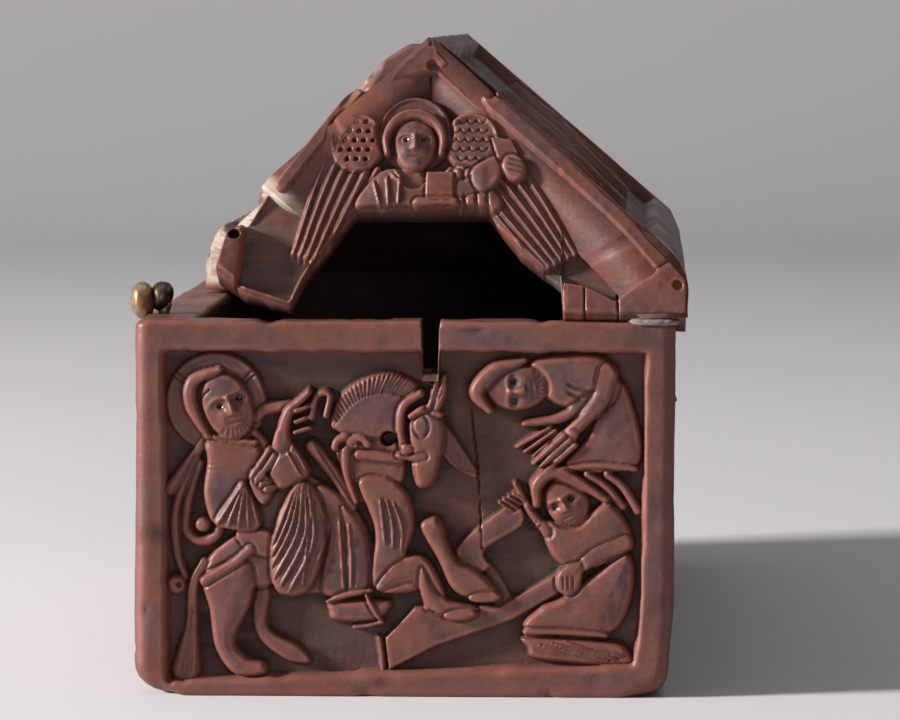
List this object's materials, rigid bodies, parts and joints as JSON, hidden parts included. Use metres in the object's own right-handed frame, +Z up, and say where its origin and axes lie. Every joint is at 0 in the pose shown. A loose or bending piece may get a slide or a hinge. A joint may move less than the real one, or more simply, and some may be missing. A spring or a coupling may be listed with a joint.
{
  "type": "reliquary casket",
  "caption": "House-shaped carved boxwood reliquary casket: a hollow box with figures in relief and a loose hollow hipped lid with a broken arched end.",
  "frame": {"origin": "middle of the box's flat underside", "axes": "+X to the right of the end that carries the entry scene, +Y back along the box's length, +Z up"},
  "size_m": [0.0741, 0.1522, 0.0861],
  "materials": {
    "boxwood": "dark red-brown carved boxwood, rubbed to a low polish, dusty in the sunk ground",
    "lid_boxwood": "dark red-brown carved boxwood, greyer and drier in the sunk ground, with raw breaks",
    "copper_alloy": "worn copper alloy, polished on top, green corrosion at the foot",
    "grey_packing": "matt grey compressed packing"
  },
  "bodies": {
    "root": {"casket_box": "boxwood", "casket_lid": "lid_boxwood", "hinge_staple": "copper_alloy", "corner_packing": "grey_packing"}
  },
  "joints": []
}
